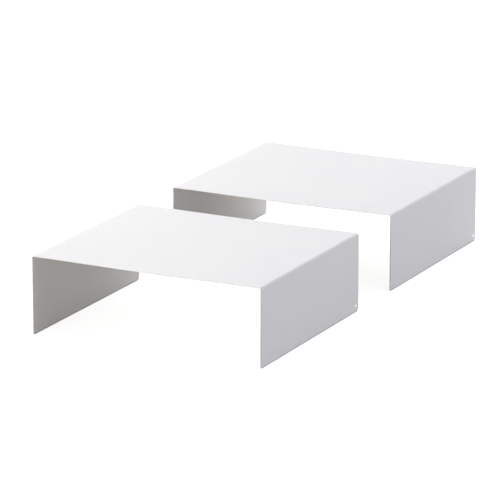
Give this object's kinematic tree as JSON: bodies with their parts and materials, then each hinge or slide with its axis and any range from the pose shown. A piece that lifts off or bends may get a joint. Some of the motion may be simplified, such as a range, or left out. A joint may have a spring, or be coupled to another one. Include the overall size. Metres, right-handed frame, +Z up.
{
  "type": "shelf riser set",
  "caption": "Free-standing folded sheet-steel shelf risers, one behind the other: flat top, sides bent down as legs, rounded lower corners and a small hang hole.",
  "frame": {"origin": "on the shelf the risers stand on, midway between the front and the rear riser and centred on their width", "axes": "+X to the right across the risers, +Y to the rear from the front riser to the rear riser, +Z up"},
  "size_m": [0.31, 0.635, 0.1],
  "materials": {
    "powder_coat": "fine-textured matte white powder coat on cold-rolled steel sheet"
  },
  "bodies": {
    "front_riser": {"front_riser_sheet": "powder_coat"},
    "rear_riser": {"rear_riser_sheet": "powder_coat"}
  },
  "joints": [
    {"name": "rear_riser_slide", "type": "slide", "parent": "front_riser", "child": "rear_riser", "axis": [0, 1, 0], "range_m": [-0.094, 0.15]}
  ]
}
